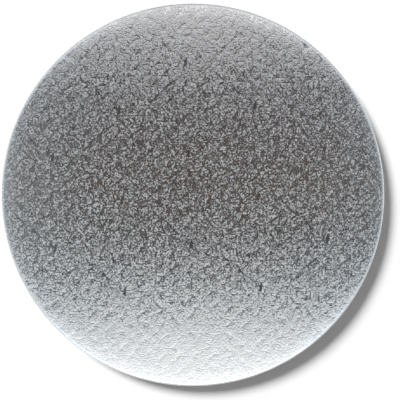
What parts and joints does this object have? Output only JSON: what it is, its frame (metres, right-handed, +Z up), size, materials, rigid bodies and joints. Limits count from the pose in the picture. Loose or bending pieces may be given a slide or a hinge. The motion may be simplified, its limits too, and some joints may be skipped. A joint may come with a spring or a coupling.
{
  "type": "cake board",
  "caption": "Round flat board covered in embossed silver foil, gathered over its edge, that carries and displays a cake.",
  "frame": {"origin": "middle of the underside, on the plane that the board rests on", "axes": "+Z up out of the top face, along the disc's axis; +X and +Y lie in the underside, with +Y towards the top of the picture"},
  "size_m": [0.254, 0.254, 0.012],
  "materials": {
    "silver_foil": "bright silver foil paper with a fine all-over leafy emboss"
  },
  "bodies": {
    "root": {"cake_board": "silver_foil"}
  },
  "joints": []
}
